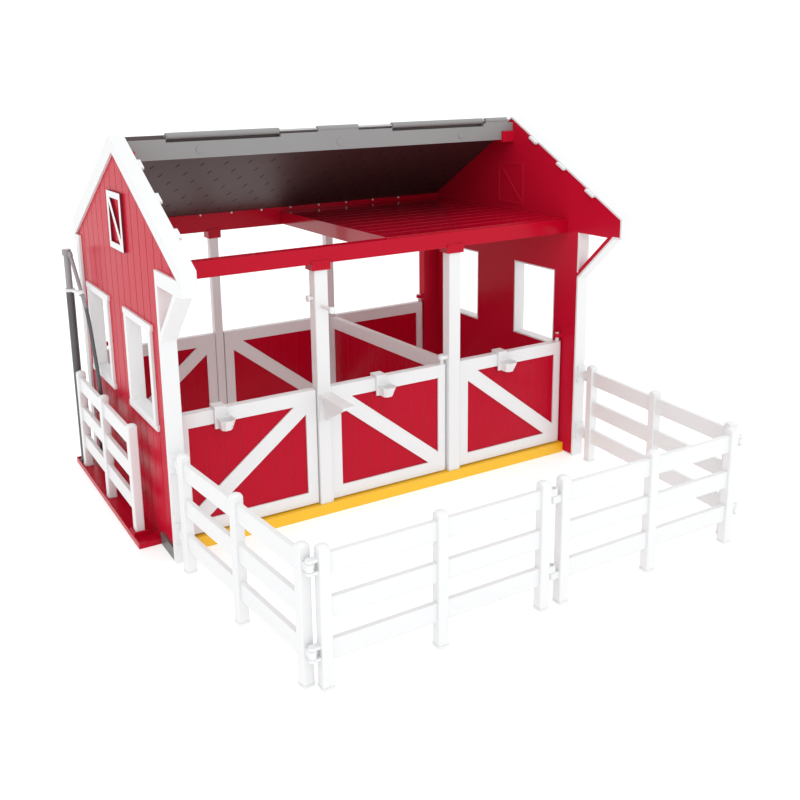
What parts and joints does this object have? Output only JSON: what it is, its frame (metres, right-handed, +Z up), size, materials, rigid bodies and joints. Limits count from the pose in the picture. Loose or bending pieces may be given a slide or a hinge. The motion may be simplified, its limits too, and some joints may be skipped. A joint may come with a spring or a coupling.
{
  "type": "toy horse stable",
  "caption": "Toy horse stable: red gabled barn with white trim, half doors, loft, wash side and fold-out fenced paddock.",
  "frame": {"origin": "on the ground, under the middle of the front base rail", "axes": "+Z up, +X to the right along the building as seen from its open front, -Y out of the open front into the paddock"},
  "size_m": [0.4965, 0.5212, 0.3725],
  "materials": {
    "red_plastic": "glossy moulded",
    "white_plastic": "satin moulded",
    "yellow_plastic": "glossy moulded",
    "grey_plastic": "satin moulded",
    "brown_plastic": "satin moulded",
    "dark_plastic": "satin moulded",
    "hose_vinyl": "smooth vinyl",
    "steel_wire": "plain wire"
  },
  "bodies": {
    "stable": {"left_wall_panel": "red_plastic", "left_wall_trim": "white_plastic", "left_front_window_frame": "white_plastic", "left_rear_window_frame": "white_plastic", "left_hatch_frame": "white_plastic", "left_wall_clips": "white_plastic", "right_wall_panel": "red_plastic", "right_wall_trim": "white_plastic", "right_front_window_frame": "white_plastic", "right_rear_window_frame": "white_plastic", "right_hatch_frame": "white_plastic", "right_wall_clips": "white_plastic", "front_header_beam": "red_plastic", "back_header_beam": "red_plastic", "loft_floor": "red_plastic", "divider_panel": "red_plastic", "wash_tray": "red_plastic", "front_post_left": "white_plastic", "front_post_right": "white_plastic", "back_post_left": "white_plastic", "back_post_right": "white_plastic", "divider_frame": "white_plastic", "saddle_rack": "white_plastic", "left_tack_peg": "white_plastic", "front_tack_peg": "white_plastic", "wash_fence": "white_plastic", "pole_clip": "white_plastic", "front_base_rail": "yellow_plastic", "back_base_rail": "yellow_plastic", "ridge_beam": "grey_plastic", "wash_pole": "grey_plastic", "pole_cap": "grey_plastic", "rear_roof_panel": "brown_plastic", "roof_hinge_pin": "steel_wire", "hose": "hose_vinyl", "hose_nozzle": "dark_plastic"},
    "front_left_door": {"front_left_door_frame": "white_plastic", "front_left_door_panel": "red_plastic"},
    "front_middle_door": {"front_middle_door_frame": "white_plastic", "front_middle_door_panel": "red_plastic"},
    "front_right_door": {"front_right_door_frame": "white_plastic", "front_right_door_panel": "red_plastic"},
    "back_left_door": {"back_left_door_frame": "white_plastic", "back_left_door_panel": "red_plastic"},
    "back_middle_door": {"back_middle_door_frame": "white_plastic", "back_middle_door_panel": "red_plastic"},
    "back_right_door": {"back_right_door_frame": "white_plastic", "back_right_door_panel": "red_plastic"},
    "left_bucket": {"left_feed_bucket": "white_plastic"},
    "middle_bucket": {"middle_feed_bucket": "white_plastic"},
    "right_bucket": {"right_feed_bucket": "white_plastic"},
    "left_fence": {"left_fence_panel": "white_plastic"},
    "right_fence": {"right_fence_panel": "white_plastic"},
    "front_left_fence": {"front_left_fence_panel": "white_plastic"},
    "front_right_fence": {"front_right_fence_panel": "white_plastic"},
    "front_roof": {"front_roof_panel": "brown_plastic"}
  },
  "joints": [
    {"name": "front_left_door_hinge", "type": "hinge", "parent": "stable", "child": "front_left_door", "pos_m": [-0.2193, 0.001, 0.0125], "axis": [0, 0, -1], "range_deg": [0, 85]},
    {"name": "front_middle_door_hinge", "type": "hinge", "parent": "stable", "child": "front_middle_door", "pos_m": [0.0643, 0.001, 0.0125], "axis": [0, 0, 1], "range_deg": [0, 85]},
    {"name": "front_right_door_hinge", "type": "hinge", "parent": "stable", "child": "front_right_door", "pos_m": [0.2193, 0.001, 0.0125], "axis": [0, 0, 1], "range_deg": [0, 85]},
    {"name": "back_left_door_hinge", "type": "hinge", "parent": "stable", "child": "back_left_door", "pos_m": [-0.2193, 0.249, 0.0125], "axis": [0, 0, 1], "range_deg": [0, 85]},
    {"name": "back_middle_door_hinge", "type": "hinge", "parent": "stable", "child": "back_middle_door", "pos_m": [0.0553, 0.249, 0.0125], "axis": [0, 0, -1], "range_deg": [0, 85]},
    {"name": "back_right_door_hinge", "type": "hinge", "parent": "stable", "child": "back_right_door", "pos_m": [0.1993, 0.249, 0.0125], "axis": [0, 0, -1], "range_deg": [0, 85]},
    {"name": "front_roof_hinge", "type": "hinge", "parent": "stable", "child": "front_roof", "pos_m": [0, 0.093, 0.36894], "axis": [1, 0, 0], "range_deg": [0, 240.21]},
    {"name": "left_fence_hinge", "type": "hinge", "parent": "stable", "child": "left_fence", "pos_m": [-0.2325, -0.033, 0], "axis": [0, 0, -1], "range_deg": [0, 85]},
    {"name": "right_fence_hinge", "type": "hinge", "parent": "stable", "child": "right_fence", "pos_m": [0.2325, -0.033, 0], "axis": [0, 0, 1], "range_deg": [0, 85]},
    {"name": "front_left_fence_hinge", "type": "hinge", "parent": "left_fence", "child": "front_left_fence", "pos_m": [-0.214, -0.2462, 0], "axis": [0, 0, -1], "range_deg": [-5, 95]},
    {"name": "front_right_fence_hinge", "type": "hinge", "parent": "right_fence", "child": "front_right_fence", "pos_m": [0.214, -0.2462, 0], "axis": [0, 0, 1], "range_deg": [-5, 95]},
    {"name": "left_bucket_lift", "type": "slide", "parent": "front_left_door", "child": "left_bucket", "axis": [0, 0, 1], "range_m": [0, 0.02]},
    {"name": "middle_bucket_lift", "type": "slide", "parent": "front_middle_door", "child": "middle_bucket", "axis": [0, 0, 1], "range_m": [0, 0.02]},
    {"name": "right_bucket_lift", "type": "slide", "parent": "front_right_door", "child": "right_bucket", "axis": [0, 0, 1], "range_m": [0, 0.02]}
  ]
}
